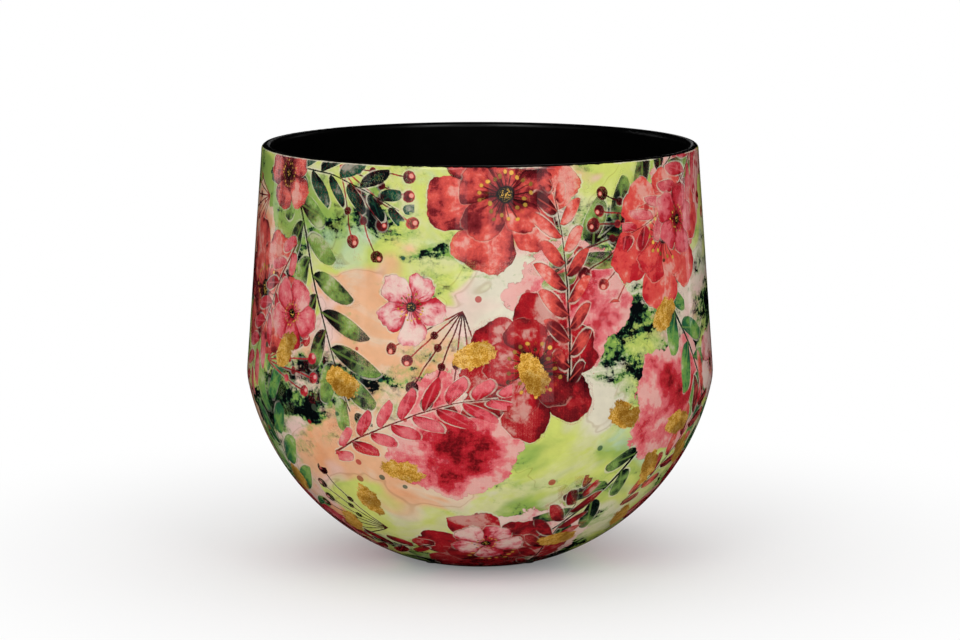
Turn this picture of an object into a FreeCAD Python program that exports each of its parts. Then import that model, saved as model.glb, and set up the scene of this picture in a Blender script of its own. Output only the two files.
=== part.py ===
import FreeCAD, Part
import math
import os

import Sketcher

# A round glazed cachepot that stands on four small pads, in millimetres, +Z up.
# Its origin is on the pot's axis, in the plane that the pads stand on.
#
# A ceramic shell carries three layers: a printed film outside, a black coat inside and
# over the lip, and a black coat under the foot. Shell and layers follow one finished
# outline, each at its own depth behind it.

document = FreeCAD.newDocument("cachepot")
sheet = document.addObject("Spreadsheet::Sheet", "sizes")

# Lengths in millimetres and angles in degrees
SIZES = (
    # The finished outline of the outside, from the foot to the lip
    ("belly_diameter", "330", "across the widest part"),
    ("pot_height", "292.8", "from the flat of the foot to the crest of the lip"),
    ("wall_taper", "4.3", "lean of the upper wall towards the mouth"),
    ("shoulder_radius", "42", "soft turn from the upper wall to the bowl"),
    ("shoulder_sweep", "11.7", "how far the soft turn goes on below the widest part"),
    ("heel_radius", "129", "turn from the bowl into the foot"),
    ("heel_run", "16.5", "how far out from the edge of the foot the heel begins"),
    ("foot_diameter", "107", "across the flat that the pads are stuck to"),
    # The ceramic shell
    ("wall_thickness", "5.6", "bare ceramic wall, rounded over in full at the lip"),
    ("floor_thickness", "7", "bare ceramic between the inside floor and the recess"),
    ("floor_round", "60", "turn from the inside wall to the floor, on the black coat"),
    ("foot_ring_width", "14", "flat ring round the shallow recess in the underside"),
    ("foot_recess", "2.5", "depth of that recess"),
    # The layers on it
    ("film_thickness", "0.3", "printed film with its clear lacquer"),
    ("coat_thickness", "0.4", "black coat inside and over the lip"),
    ("base_coat_thickness", "0.3", "black coat under the foot"),
    ("bond_gap", "0.05", "room between the ceramic and each layer"),
    ("lip_seam", "1.4", "how far out from the crest of the lip the black coat ends"),
    ("seam_gap", "0.1", "room between the edge of the print and a black coat"),
    ("print_stop", "6", "how far out from the edge of the foot the print ends"),
    # The pads
    ("pad_diameter", "11", "across one pad"),
    ("pad_thickness", "1.2", "height of one pad, which lifts the foot off the table"),
    ("pad_edge_round", "0.3", "softened lower edge of a pad"),
    ("first_pad_angle", "45", "turn from +X to the first pad"),
)

for row, (alias, number, meaning) in enumerate(SIZES, start=1):
    sheet.set(f"A{row}", alias)
    sheet.set(f"B{row}", number)
    sheet.set(f"C{row}", meaning)
    sheet.setAlias(f"B{row}", alias)
document.recompute()

# From here to the sections, each name holds a sum of the sheet's sizes as text. The
# sketches are bound to that text, and worked_out gives the number that it comes to.

# Depths behind the finished outline
FINISH = "0"
FILM_BACK = "sizes.film_thickness"
CERAMIC_OUTSIDE = f"{FILM_BACK} + sizes.bond_gap"
CERAMIC_INSIDE = f"{CERAMIC_OUTSIDE} + sizes.wall_thickness"
COAT_BACK = f"{CERAMIC_INSIDE} + sizes.bond_gap"
COAT_FACE = f"{COAT_BACK} + sizes.coat_thickness"
BASE_COAT_FACE = f"{FILM_BACK} - sizes.base_coat_thickness"

# Radii about the centre of the rounded lip, which is half a wall behind the ceramic
LIP_DEPTH = f"{CERAMIC_OUTSIDE} + sizes.wall_thickness / 2"
LIP_CERAMIC = "sizes.wall_thickness / 2"
LIP_BACK = f"{LIP_CERAMIC} + sizes.bond_gap"
LIP_FILM = f"{LIP_BACK} + sizes.film_thickness"
LIP_COAT = f"{LIP_BACK} + sizes.coat_thickness"

# Layers above the finished underside
BASE_COAT_BACK = "sizes.base_coat_thickness"
CERAMIC_UNDERSIDE = f"{BASE_COAT_BACK} + sizes.bond_gap"

# Heights above the table
FOOT_FLAT = "sizes.pad_thickness"
RECESS = f"{FOOT_FLAT} + sizes.foot_recess"
CERAMIC_FLOOR = f"{RECESS} + {CERAMIC_UNDERSIDE} + sizes.floor_thickness"
COAT_FLOOR_BACK = f"{CERAMIC_FLOOR} + sizes.bond_gap"
COAT_FLOOR = f"{COAT_FLOOR_BACK} + sizes.coat_thickness"
LIP_CENTRE = f"{FOOT_FLAT} + sizes.pot_height - ({LIP_COAT})"

# Reaches out from the axis
FOOT_EDGE = "sizes.foot_diameter / 2"
RECESS_EDGE = f"{FOOT_EDGE} - sizes.foot_ring_width"
PRINT_END = f"{FOOT_EDGE} + sizes.print_stop"
BASE_COAT_END = f"{PRINT_END} - sizes.seam_gap"
PAD_CENTRE = f"{FOOT_EDGE} - sizes.foot_ring_width / 2"
PAD_RADIUS = "sizes.pad_diameter / 2"

# The arcs of the finished outline: the bowl is part of a ball about a point on the axis,
# the shoulder touches it from inside above, and so does the heel below
SHOULDER_REACH = "(sizes.belly_diameter / 2 - sizes.shoulder_radius)"
BOWL_RADIUS = f"(sizes.shoulder_radius + {SHOULDER_REACH} / cos(sizes.shoulder_sweep))"
HEEL_START = f"({FOOT_EDGE} + sizes.heel_run)"
HEEL_TURN = f"acos({HEEL_START} / {BOWL_RADIUS})"
HEEL_INSET = f"({BOWL_RADIUS} - sizes.heel_radius)"
HEEL_REACH = f"({HEEL_INSET} * {HEEL_START} / {BOWL_RADIUS})"
FOOT_TURN = f"acos(({FOOT_EDGE} - {HEEL_REACH}) / sizes.heel_radius)"
HEEL_RISE = f"({FOOT_FLAT} + sizes.heel_radius * sin({FOOT_TURN}))"
BOWL_RISE = f"({HEEL_RISE} + {HEEL_INSET} * sin({HEEL_TURN}))"
BELLY_RISE = f"({BOWL_RISE} - {SHOULDER_REACH} * tan(sizes.shoulder_sweep))"


def worked_out(text):
    """The number that a sum of the sheet's sizes comes to."""
    return float(sheet.evalExpression(text))


def radians(text):
    """An angle of the sheet, in radians."""
    return math.radians(worked_out(text))


# Where each sketch's solver starts from
taper = radians("sizes.wall_taper")
sweep = radians("sizes.shoulder_sweep")
heel_turn = radians(HEEL_TURN)
foot_turn = radians(FOOT_TURN)
shoulder_centre = FreeCAD.Vector(worked_out(SHOULDER_REACH), worked_out(BELLY_RISE), 0)
bowl_centre = FreeCAD.Vector(0, worked_out(BOWL_RISE), 0)
heel_centre = FreeCAD.Vector(worked_out(HEEL_REACH), worked_out(HEEL_RISE), 0)


def away(centre, distance, angle):
    """The point at a distance from a centre, at an angle anticlockwise from +X."""
    step = FreeCAD.Vector(math.cos(angle), math.sin(angle), 0)
    return centre + step * distance


def wall_point(depth_text, rise):
    """The point of the upper wall at a depth, a rise along it above the shoulder."""
    radius = worked_out("sizes.shoulder_radius") - worked_out(depth_text)
    along = away(FreeCAD.Vector(), rise, taper + math.radians(90))
    return away(shoulder_centre, radius, taper) + along


lip_climb = worked_out(LIP_CENTRE) - wall_point(LIP_DEPTH, 0).y
wall_length = lip_climb / math.cos(taper)
lip_centre = wall_point(LIP_DEPTH, wall_length)

# The pads in turn, anticlockwise from the first pad's angle, seen from above
PAD_LABELS = (
    "foot_pad_back_right",
    "foot_pad_back_left",
    "foot_pad_front_left",
    "foot_pad_front_right",
)

# The ends and the centre of a line or arc, as a sketch counts them. An arc runs
# anticlockwise, so on the pot's side its start is its lower end.
START, END, CENTRE = range(1, 4)

# A sketch counts its own axes below zero, and its origin is the start of the level one
LEVEL_AXIS, UPRIGHT_AXIS = range(-1, -3, -1)
ORIGIN = (LEVEL_AXIS, START)


class Section:
    """Half of a piece's cross section, on the XZ plane, that is turned round the axis."""

    def __init__(self, body):
        self.body = body
        self.sketch = body.newObject("Sketcher::SketchObject", f"{body.Name}_section")
        plane = next(p for p in body.Origin.OriginFeatures if p.Role == "XZ_Plane")
        self.sketch.AttachmentSupport = [(plane, "")]
        self.sketch.MapMode = "FlatFace"

    def line(self, start, end):
        """Adds a straight edge between two points."""
        return self.sketch.addGeometry(Part.LineSegment(start, end), False)

    def arc(self, centre, radius, first, last):
        """Adds an arc from the first angle anticlockwise to the last."""
        circle = Part.Circle(centre, FreeCAD.Vector(0, 0, 1), radius)
        return self.sketch.addGeometry(Part.ArcOfCircle(circle, first, last), False)

    def point(self, edge, end):
        """Where an end of an edge lies."""
        return self.sketch.getPoint(edge, end)

    def hold(self, *rule):
        """Adds a constraint and gives its number."""
        return self.sketch.addConstraint(Sketcher.Constraint(*rule))

    def flow(self, edge, end, other, other_end):
        """Lets two edges share an end and run on into each other without a corner."""
        self.hold("Tangent", edge, end, other, other_end)

    def join(self, edge, end, other, other_end, direction=None):
        """Adds a straight edge between two ends, level or upright if asked."""
        link = self.line(self.point(edge, end), self.point(other, other_end))
        self.hold("Coincident", link, START, edge, end)
        self.hold("Coincident", link, END, other, other_end)
        if direction:
            self.hold(direction, link)
        return link

    def bind(self, text, *rule):
        """Adds a constraint whose size is a sum of the sheet's sizes."""
        index = self.hold(*rule)
        self.sketch.setExpression(f"Constraints[{index}]", text)

    def reach(self, text, edge, end):
        """Sets how far out from the axis a point is."""
        self.bind(text, "DistanceX", *ORIGIN, edge, end, worked_out(text))

    def height(self, text, edge, end):
        """Sets how far above the table a point is."""
        self.bind(text, "DistanceY", *ORIGIN, edge, end, worked_out(text))

    def radius(self, text, arc):
        """Sets an arc's radius."""
        self.bind(text, "Radius", arc, worked_out(text))

    def beside_crest(self, text, lip, end):
        """Sets how far out from the crest an end of a lip's arc is."""
        self.bind(text, "DistanceX", lip, CENTRE, lip, end, worked_out(text))

    def turn(self):
        """Checks that the sizes settle every edge, and turns the section full circle."""
        document.recompute()
        if not self.sketch.FullyConstrained:
            raise RuntimeError(f"{self.sketch.Name} is not settled by its sizes")
        turned = self.body.newObject("PartDesign::Revolution", f"{self.body.Name}_turned")
        turned.Profile = self.sketch
        turned.ReferenceAxis = (self.sketch, ["V_Axis"])
        turned.Angle = 360


def add_side(section, depth):
    """Adds the bowl, the shoulder and the upper wall at a depth, bottom to top.

    The bowl's lower end and the wall's upper end are left free.
    """
    behind = worked_out(depth)
    bowl_size = worked_out(BOWL_RADIUS) - behind
    shoulder_size = worked_out("sizes.shoulder_radius") - behind
    bowl = section.arc(bowl_centre, bowl_size, -heel_turn, -sweep)
    shoulder = section.arc(shoulder_centre, shoulder_size, -sweep, taper)
    wall = section.line(wall_point(depth, 0), wall_point(depth, wall_length))
    section.flow(bowl, END, shoulder, START)
    section.flow(shoulder, END, wall, START)
    section.hold("PointOnObject", bowl, CENTRE, UPRIGHT_AXIS)
    section.radius(f"{BOWL_RADIUS} - ({depth})", bowl)
    section.radius(f"sizes.shoulder_radius - ({depth})", shoulder)
    section.reach(SHOULDER_REACH, shoulder, CENTRE)
    section.height(BELLY_RISE, shoulder, CENTRE)
    section.bind("90 + sizes.wall_taper", "Angle", wall, taper + math.radians(90))
    return bowl, wall


def add_heel(section, depth):
    """Adds the heel at a depth, with both of its ends left free."""
    heel_size = worked_out("sizes.heel_radius") - worked_out(depth)
    heel = section.arc(heel_centre, heel_size, -foot_turn, -heel_turn)
    section.radius(f"sizes.heel_radius - ({depth})", heel)
    return heel


def add_outside(section, depth):
    """Adds the whole outline at a depth, from the heel to the top of the wall."""
    heel = add_heel(section, depth)
    bowl, wall = add_side(section, depth)
    section.flow(heel, END, bowl, START)
    heel_start = f"{HEEL_START} * ({BOWL_RADIUS} - ({depth})) / {BOWL_RADIUS}"
    section.reach(heel_start, heel, END)
    return heel, wall


def add_inside(section, depth, floor):
    """Adds the inside floor, its round and the inside wall at a depth."""
    round_text = f"sizes.floor_round + {COAT_FACE} - ({depth})"
    round_size = worked_out(round_text)
    bowl_size = worked_out(BOWL_RADIUS) - worked_out(depth)
    drop = worked_out(BOWL_RISE) - worked_out(floor) - round_size
    slant = bowl_size - round_size
    round_turn = math.asin(drop / slant)
    round_centre = away(bowl_centre, slant, -round_turn)
    round_foot = away(round_centre, round_size, -math.radians(90))
    flat = section.line(FreeCAD.Vector(0, round_foot.y, 0), round_foot)
    floor_turn = section.arc(round_centre, round_size, -math.radians(90), -round_turn)
    bowl, wall = add_side(section, depth)
    section.flow(flat, END, floor_turn, START)
    section.flow(floor_turn, END, bowl, START)
    section.hold("Horizontal", flat)
    section.hold("PointOnObject", flat, START, UPRIGHT_AXIS)
    section.height(floor, flat, START)
    section.radius(round_text, floor_turn)
    return flat, wall


def add_lip(section, radius, first, last):
    """Adds an arc of the rounded lip, between two angles in radians."""
    lip = section.arc(lip_centre, worked_out(radius), first, last)
    section.height(LIP_CENTRE, lip, CENTRE)
    return lip


def seam_angle(radius, reach):
    """The angle at which an arc of the lip is a given way out from the crest."""
    return math.acos(worked_out(reach) / worked_out(radius))


def new_body(label):
    """A body for one piece, under the name that its file will have."""
    body = document.addObject("PartDesign::Body", label)
    body.Label = label
    return body


def add_underside(section, heel, layer):
    """Adds the recess, its step and the foot ring, a layer above the finished underside.

    The foot ring runs out to the heel's lower end. The recess comes back.
    """
    corner_reach = f"{RECESS_EDGE} + {layer}"
    recess_rise = f"{RECESS} + {layer}"
    foot_rise = f"{FOOT_FLAT} + {layer}"
    middle = FreeCAD.Vector(0, worked_out(recess_rise), 0)
    upper_corner = FreeCAD.Vector(worked_out(corner_reach), middle.y, 0)
    lower_corner = FreeCAD.Vector(upper_corner.x, worked_out(foot_rise), 0)
    recess = section.line(middle, upper_corner)
    step = section.line(upper_corner, lower_corner)
    section.hold("Coincident", recess, END, step, START)
    section.hold("PointOnObject", recess, START, UPRIGHT_AXIS)
    section.hold("Horizontal", recess)
    section.hold("Vertical", step)
    section.height(recess_rise, recess, START)
    section.reach(corner_reach, recess, END)
    section.height(foot_rise, step, END)
    section.join(step, END, heel, START, "Horizontal")
    return recess


def pot_body():
    """The ceramic shell, with its rounded lip, foot ring and recessed underside."""
    section = Section(new_body("pot_body"))
    heel, outer_wall = add_outside(section, CERAMIC_OUTSIDE)
    floor, inner_wall = add_inside(section, CERAMIC_INSIDE, CERAMIC_FLOOR)
    recess = add_underside(section, heel, CERAMIC_UNDERSIDE)
    lip = add_lip(section, LIP_CERAMIC, taper, taper + math.radians(180))
    section.flow(outer_wall, END, lip, START)
    section.flow(lip, END, inner_wall, END)
    section.join(floor, START, recess, START)
    section.turn()


def inner_coat():
    """The black coat on the inside floor and wall, over the crest of the lip."""
    section = Section(new_body("inner_coat"))
    back_floor, back_wall = add_inside(section, COAT_BACK, COAT_FLOOR_BACK)
    face_floor, face_wall = add_inside(section, COAT_FACE, COAT_FLOOR)
    reach = "sizes.lip_seam"
    inner_end = taper + math.radians(180)
    back_lip = add_lip(section, LIP_BACK, seam_angle(LIP_BACK, reach), inner_end)
    face_lip = add_lip(section, LIP_COAT, seam_angle(LIP_COAT, reach), inner_end)
    section.flow(back_lip, END, back_wall, END)
    section.flow(face_lip, END, face_wall, END)
    section.beside_crest(reach, back_lip, START)
    section.beside_crest(reach, face_lip, START)
    section.radius(LIP_BACK, back_lip)
    section.radius(LIP_COAT, face_lip)
    section.join(back_lip, START, face_lip, START)
    section.join(back_floor, START, face_floor, START)
    section.turn()


def printed_wrap():
    """The printed film, from the outer shoulder of the lip down to the heel."""
    section = Section(new_body("printed_wrap"))
    reach = "sizes.lip_seam + sizes.seam_gap"
    ends = []
    for depth, radius in ((FINISH, LIP_FILM), (FILM_BACK, LIP_BACK)):
        heel, wall = add_outside(section, depth)
        lip = add_lip(section, radius, taper, seam_angle(radius, reach))
        section.flow(wall, END, lip, START)
        section.beside_crest(reach, lip, END)
        section.radius(radius, lip)
        section.reach(PRINT_END, heel, START)
        ends.append((heel, lip))
    (face_heel, face_lip), (back_heel, back_lip) = ends
    section.join(face_lip, END, back_lip, END)
    section.join(face_heel, START, back_heel, START)
    section.turn()


def base_coat():
    """The black coat on the end of the heel, the foot ring and the recess."""
    section = Section(new_body("base_coat"))
    sides = []
    for depth, layer in ((BASE_COAT_FACE, FINISH), (FILM_BACK, BASE_COAT_BACK)):
        heel = add_heel(section, depth)
        section.reach(HEEL_REACH, heel, CENTRE)
        section.height(HEEL_RISE, heel, CENTRE)
        section.reach(BASE_COAT_END, heel, END)
        sides.append((heel, add_underside(section, heel, layer)))
    (face_heel, face_recess), (back_heel, back_recess) = sides
    section.join(face_heel, END, back_heel, END)
    section.join(face_recess, START, back_recess, START)
    section.turn()


def foot_pad(label, angle):
    """One pad under the foot ring, at an angle from +X, with its lower edge softened."""
    body = new_body(label)
    sketch = body.newObject("Sketcher::SketchObject", f"{label}_round")
    plane = next(p for p in body.Origin.OriginFeatures if p.Role == "XY_Plane")
    sketch.AttachmentSupport = [(plane, "")]
    sketch.MapMode = "FlatFace"
    radius = worked_out(PAD_RADIUS)
    circle = Part.Circle(FreeCAD.Vector(), FreeCAD.Vector(0, 0, 1), radius)
    edge = sketch.addGeometry(circle, False)
    sketch.addConstraint(Sketcher.Constraint("Coincident", edge, CENTRE, *ORIGIN))
    held = sketch.addConstraint(Sketcher.Constraint("Radius", edge, radius))
    sketch.setExpression(f"Constraints[{held}]", PAD_RADIUS)
    disc = body.newObject("PartDesign::Pad", f"{label}_disc")
    disc.Profile = sketch
    disc.setExpression("Length", "sizes.pad_thickness")
    document.recompute()
    half_way = worked_out("sizes.pad_thickness / 2")
    lower = [
        f"Edge{number}"
        for number, rim in enumerate(disc.Shape.Edges, start=1)
        if rim.BoundBox.ZMax < half_way
    ]
    softened = body.newObject("PartDesign::Fillet", f"{label}_softened")
    softened.Base = (disc, lower)
    softened.setExpression("Radius", "sizes.pad_edge_round")
    body.setExpression("Placement.Base.x", f"({PAD_CENTRE}) * cos({angle})")
    body.setExpression("Placement.Base.y", f"({PAD_CENTRE}) * sin({angle})")


def export(body):
    """Writes a piece to its file, if it is one sound solid."""
    shape = body.Shape
    if shape.isNull() or not shape.isValid() or len(shape.Solids) != 1:
        raise RuntimeError(f"{body.Label} is not one sound solid")
    shape.exportStep(f"parts/{body.Label}.step")
    box = shape.optimalBoundingBox(False)
    print(
        f"{body.Label}: {box.XLength:.1f} x {box.YLength:.1f} x {box.ZLength:.1f} mm, "
        f"from {box.ZMin:.2f} up, {shape.Volume / 1000:.2f} cm3"
    )


pot_body()
inner_coat()
printed_wrap()
base_coat()
for turn, label in enumerate(PAD_LABELS):
    foot_pad(label, f"sizes.first_pad_angle + {turn} * 360 / {len(PAD_LABELS)}")
document.recompute()

for item in document.Objects:
    if "Invalid" in item.State or "Error" in item.State:
        raise RuntimeError(f"{item.Name} did not compute: {item.State}")
os.makedirs("parts", exist_ok=True)
for item in document.Objects:
    if item.TypeId == "PartDesign::Body":
        export(item)
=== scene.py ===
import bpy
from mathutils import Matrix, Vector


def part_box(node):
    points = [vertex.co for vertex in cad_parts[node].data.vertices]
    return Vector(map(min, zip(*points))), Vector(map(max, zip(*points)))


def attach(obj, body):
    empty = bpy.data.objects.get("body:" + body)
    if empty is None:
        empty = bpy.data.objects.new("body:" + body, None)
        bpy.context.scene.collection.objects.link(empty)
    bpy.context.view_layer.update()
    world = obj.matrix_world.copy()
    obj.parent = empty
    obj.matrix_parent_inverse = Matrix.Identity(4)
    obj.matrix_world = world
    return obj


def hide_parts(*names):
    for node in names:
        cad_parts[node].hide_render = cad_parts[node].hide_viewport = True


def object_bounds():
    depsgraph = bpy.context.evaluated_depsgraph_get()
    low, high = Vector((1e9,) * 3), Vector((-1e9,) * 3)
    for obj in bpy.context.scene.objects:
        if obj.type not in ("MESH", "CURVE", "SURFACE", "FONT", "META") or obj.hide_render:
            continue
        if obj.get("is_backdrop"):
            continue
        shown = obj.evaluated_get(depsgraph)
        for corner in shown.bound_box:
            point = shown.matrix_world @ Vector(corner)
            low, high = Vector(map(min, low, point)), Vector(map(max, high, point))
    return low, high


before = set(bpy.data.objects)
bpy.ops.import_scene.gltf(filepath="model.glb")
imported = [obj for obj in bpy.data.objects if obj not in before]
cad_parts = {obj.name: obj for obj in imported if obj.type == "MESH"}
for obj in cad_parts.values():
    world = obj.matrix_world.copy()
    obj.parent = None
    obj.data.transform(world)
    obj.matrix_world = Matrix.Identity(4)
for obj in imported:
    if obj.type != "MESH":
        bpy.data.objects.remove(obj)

import inspect
import math
import random

import bpy
import numpy as np
from bpy.props import FloatProperty, FloatVectorProperty, IntProperty, PointerProperty
from mathutils import Vector, noise

bl_info = {
    "name": "Printed cachepot",
    "version": (1, 0, 0),
    "blender": (4, 5, 0),
    "location": "View3D > Sidebar > Cachepot",
    "description": "Dresses the cachepot with its flower print, coats and pads",
    "category": "Object",
}

# The whole pot's box as CAD gives it, and the highest corners of the wrap and of a foot pad
CAD_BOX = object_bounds()
WRAP_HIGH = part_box("printed_wrap")[1]
PAD_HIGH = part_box("foot_pad_front_right")[1]
MM = 0.001


def paint(code):
    """The linear colour of a six-figure colour code."""
    shares = [int(code[at:at + 2], 16) / 255 for at in (0, 2, 4)]
    return [s / 12.92 if s <= 0.04045 else ((s + 0.055) / 1.055) ** 2.4 for s in shares]


def colour(name, description, code):
    """A colour that a user can change."""
    return FloatVectorProperty(
        name=name, description=description, default=paint(code), subtype="COLOR", min=0, max=1
    )


def length(name, description, default):
    """A length that a user can change."""
    return FloatProperty(name=name, description=description, default=default, unit="LENGTH")


def amount(name, description, default):
    """A plain number that a user can change."""
    return FloatProperty(name=name, description=description, default=default)


class PrintDesign(bpy.types.PropertyGroup):
    """Sizes and colours of the flower print."""

    big_flower: length("Big flowers", "Radius of a big open flower", 0.058)
    small_flower: length("Small flowers", "Radius of a small open flower", 0.03)
    long_spray: length("Long sprays", "Half the length of a leafy spray", 0.1)
    short_spray: length("Short sprays", "Half the length of a short leafy spray", 0.068)
    berry_fan: length("Berry fans", "Radius of a fan of berries", 0.045)
    wet_bloom: length("Wet blooms", "Radius of a spread drop of colour", 0.06)
    gold_flake: length("Gold flakes", "Half the length of a flake of leaf gold", 0.019)
    layout: IntProperty(name="Layout", description="Which layout is laid out", default=4)
    paper: colour("Paper", "Bare ground between the washes", "DAD2BB")
    lime: colour("Lime", "Yellow-green wash", "CBD36C")
    moss: colour("Moss", "Mid green wash", "83A74B")
    mint: colour("Mint", "Pale blue-green wash", "B9D3BD")
    peach: colour("Peach", "Warm wash", "E6AE83")
    blush: colour("Blush", "Pale pink wash", "E5C1B6")
    pine: colour("Pine", "Dark green of leaves and blots", "104C38")
    night: colour("Night", "Blue-black of the darkest leaves", "060C0E")
    coral: colour("Coral", "Light red of petals", "DF5749")
    rose: colour("Rose", "Pink of petals", "DE7276")
    crimson: colour("Crimson", "Deep red of petals", "AE0F1D")
    maroon: colour("Maroon", "Darkest red, where colour pooled", "47080F")
    gold: colour("Gold", "Leaf gold", "F1B94C")


class PotCoats(bpy.types.PropertyGroup):
    """Colours of the plain coats and of the pads."""

    black: colour("Black coat", "Coat inside the pot and over the lip", "030303")
    base: colour("Base coat", "Coat under the foot", "101010")
    bisque: colour("Ceramic", "Fired clay under the coats", "DCCFB8")
    felt: colour("Felt", "Pads under the foot", "2B2A28")


class StudioStage(bpy.types.PropertyGroup):
    """Camera, floor and lights."""

    camera_distance: length("Camera distance", "From the pot's axis, along the floor", 2.45)
    camera_height: length("Camera height", "Above the floor", 0.545)
    aim_height: length("Aim height", "Where the camera points, above the floor", 0.1512)
    lens: amount("Lens", "Focal length in millimetres", 131.25)
    sensor: amount("Sensor", "Width of the camera's sensor in millimetres", 36)
    shift: amount("Shift", "How far the view is moved up, as a share of its width", 0.0241)
    floor: colour("Floor", "Plain pale floor", "F4F4F4")
    floor_radius: length("Floor radius", "From the pot's axis to the floor's edge", 14)
    even_light: amount("Even light", "Level of the light from all round", 0.46)
    strip_light: amount("Strip light", "Level of the strips that the gloss mirrors", 0.6)


def sign(operation):
    """A method that adds the node for one sign of a sum."""
    def work_out(self, *other):
        return self.bench.sum(operation, self, *other)
    return work_out


class Value:
    """What a node gives out. Sums of values add the nodes that work them out."""

    __add__ = sign("ADD")
    __sub__ = sign("SUBTRACT")
    __mul__ = sign("MULTIPLY")
    __truediv__ = sign("DIVIDE")
    __pow__ = sign("POWER")
    __abs__ = sign("ABSOLUTE")
    __floor__ = sign("FLOOR")

    def __init__(self, bench, socket):
        self.bench = bench
        self.socket = socket

    def __rsub__(self, other):
        return self.bench.sum("SUBTRACT", other, self)


class Bench:
    """Adds nodes to a material or a node group, in the order in which they are worked out."""

    spacing = 180

    def __init__(self, tree):
        self.tree = tree

    def feed(self, socket, value):
        """Links a value to a socket, or sets the socket to a plain number or colour."""
        value = getattr(value, "socket", value)
        if isinstance(value, bpy.types.NodeSocket):
            self.tree.links.new(value, socket)
        elif socket.type == "RGBA":
            socket.default_value = (*value[:3], 1)
        else:
            socket.default_value = value

    def node(self, kind, inputs=(), **settings):
        """Adds a node, with its settings and inputs."""
        made = self.tree.nodes.new(kind)
        made.location.x = self.spacing * len(self.tree.nodes)
        for name, value in settings.items():
            setattr(made, name, value)
        for key, value in dict(inputs).items():
            self.feed(made.inputs[key], value)
        return made

    def value(self, kind, output, inputs=(), **settings):
        """Adds a node and gives one of its outputs."""
        return Value(self, self.node(kind, inputs, **settings).outputs[output])

    def use(self, group, **inputs):
        """Places a node group and gives its outputs in order."""
        made = self.node("ShaderNodeGroup", node_tree=group)
        for name, value in inputs.items():
            self.feed(made.inputs[name.capitalize()], value)
        return [Value(self, socket) for socket in made.outputs]

    def sum(self, operation, *parts):
        """A Math node, or a Vector Math node where a part is a vector or a colour."""
        flat = all(
            part.socket.type == "VALUE" if isinstance(part, Value) else not hasattr(part, "__len__")
            for part in parts
        )
        kind = "ShaderNodeMath" if flat else "ShaderNodeVectorMath"
        parts = [
            (part,) * 3 if not flat and isinstance(part, (int, float)) else part for part in parts
        ]
        return self.value(kind, 0, enumerate(parts), operation=operation)

    def most(self, first, *others):
        """The largest of some values."""
        for other in others:
            first = self.sum("MAXIMUM", first, other)
        return first

    def steps(self, value):
        """The whole number of the step that a value is on, and how far it is past its middle."""
        index = math.floor(value)
        return index, value - index - 0.5

    def length(self, vector):
        return self.value("ShaderNodeVectorMath", "Value", {0: vector}, operation="LENGTH")

    def join(self, x, y, z=0.0):
        return self.value("ShaderNodeCombineXYZ", 0, {0: x, 1: y, 2: z})

    def split(self, vector):
        made = self.node("ShaderNodeSeparateXYZ", {0: vector})
        return [Value(self, socket) for socket in made.outputs]

    def polar(self, x, y):
        """How far out a point is, and how far round, from 0 to 1."""
        return self.length(self.join(x, y)), self.sum("ARCTAN2", y, x) / math.tau + 0.5

    def ease(self, value, low, high):
        """Nothing at low and all at high, with a soft step between."""
        ends = {"Value": value, "From Min": low, "From Max": high}
        return self.value("ShaderNodeMapRange", 0, ends, interpolation_type="SMOOTHSTEP")

    def mottle(self, place, scale, detail=2.0, roughness=0.5):
        """Soft noise, mostly between 0.3 and 0.7, with about scale bumps to a unit of place."""
        inputs = {"Vector": place, "Scale": scale, "Detail": detail, "Roughness": roughness}
        return self.value("ShaderNodeTexNoise", 0, inputs)

    def drift(self, place, scale, detail=2.0):
        """Soft noise as a vector, about zero."""
        inputs = {"Vector": place, "Scale": scale, "Detail": detail}
        return self.value("ShaderNodeTexNoise", 1, inputs) - 0.5

    def luck(self, *numbers):
        """Three chances between 0 and 1 that belong to some whole numbers."""
        place = self.join(*numbers)
        made = self.value("ShaderNodeTexWhiteNoise", 1, {"Vector": place}, noise_dimensions="3D")
        return self.split(made)

    def blend(self, factor, one, other):
        """A colour between two."""
        return self.value("ShaderNodeMix", 2, {0: factor, 6: one, 7: other}, data_type="RGBA")

    def pick(self, chance, colours):
        """One of some colours, by a chance between 0 and 1."""
        made = self.node("ShaderNodeValToRGB", {0: chance})
        ramp = made.color_ramp
        ramp.interpolation = "CONSTANT"
        while len(ramp.elements) < len(colours):
            ramp.elements.new(1)
        for index, dye in enumerate(colours):
            ramp.elements[index].position = index / len(colours)
            ramp.elements[index].color = (*dye, 1)
        return Value(self, made.outputs[0])


# The sockets of node groups that aren't colours
VECTORS = ("Place", "Surface")
NUMBERS = (
    "Count", "Reach", "Size", "Scale", "Contrast", "Roughness", "Spread", "Mask", "Halo", "Height"
)


def group(name, work, outputs):
    """A node group whose outputs a function works out. Its inputs are the function's arguments."""
    made = bpy.data.node_groups.new(name, "ShaderNodeTree")
    inputs = [argument.capitalize() for argument in inspect.signature(work).parameters][1:]
    for way, sockets in (("INPUT", inputs), ("OUTPUT", outputs)):
        for socket in sockets:
            kind = "Vector" if socket in VECTORS else "Float" if socket in NUMBERS else "Color"
            made.interface.new_socket(socket, in_out=way, socket_type="NodeSocket" + kind)
    bench = Bench(made)
    entry = bench.node("NodeGroupInput")
    results = work(bench, *[Value(bench, socket) for socket in entry.outputs[:len(inputs)]])
    way_out = bench.node("NodeGroupOutput")
    for socket, value in zip(way_out.inputs, results):
        bench.feed(socket, value)
    return made


# Warm paper under thin colour, the grey that a dried edge goes towards, and the painted highlight on gold
THIN_WASH = (0.8, 0.68, 0.56)
DRIED_EDGE = (0.2, 0.2, 0.2)
GOLD_GLINT = (1.0, 0.78, 0.38)


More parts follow.
